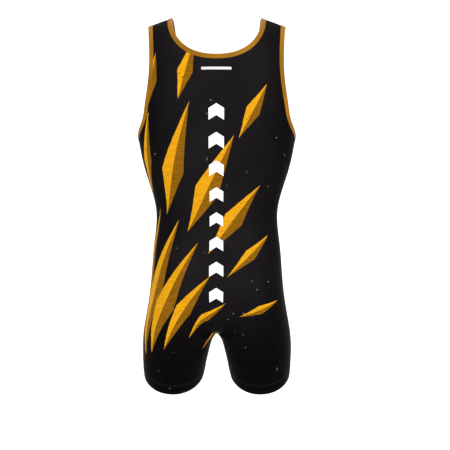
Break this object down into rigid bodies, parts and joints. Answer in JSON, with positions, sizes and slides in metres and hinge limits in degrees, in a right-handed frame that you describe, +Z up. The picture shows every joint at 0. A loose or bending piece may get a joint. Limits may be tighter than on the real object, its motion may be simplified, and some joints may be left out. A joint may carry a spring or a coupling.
{
  "type": "wrestling singlet",
  "caption": "Sleeveless one-piece wrestling singlet in its worn shape, hollow, with a scooped neck, bound armholes and short legs.",
  "frame": {"origin": "midway between the two shoulder seams, where the straps rest on the wearer's shoulders", "axes": "+Z up along the garment, front facing -Y, back facing +Y, wearer's left +X"},
  "size_m": [0.3606, 0.2344, 0.8358],
  "materials": {
    "black_knit": "smooth stretch knit with a soft sheen, black with a printed gold design",
    "binding": "brown gold stretch binding, satin"
  },
  "bodies": {
    "root": {"back_panel": "black_knit", "front_panel": "black_knit", "neck_binding": "binding", "armhole_binding_left": "binding", "armhole_binding_right": "binding"}
  },
  "joints": []
}
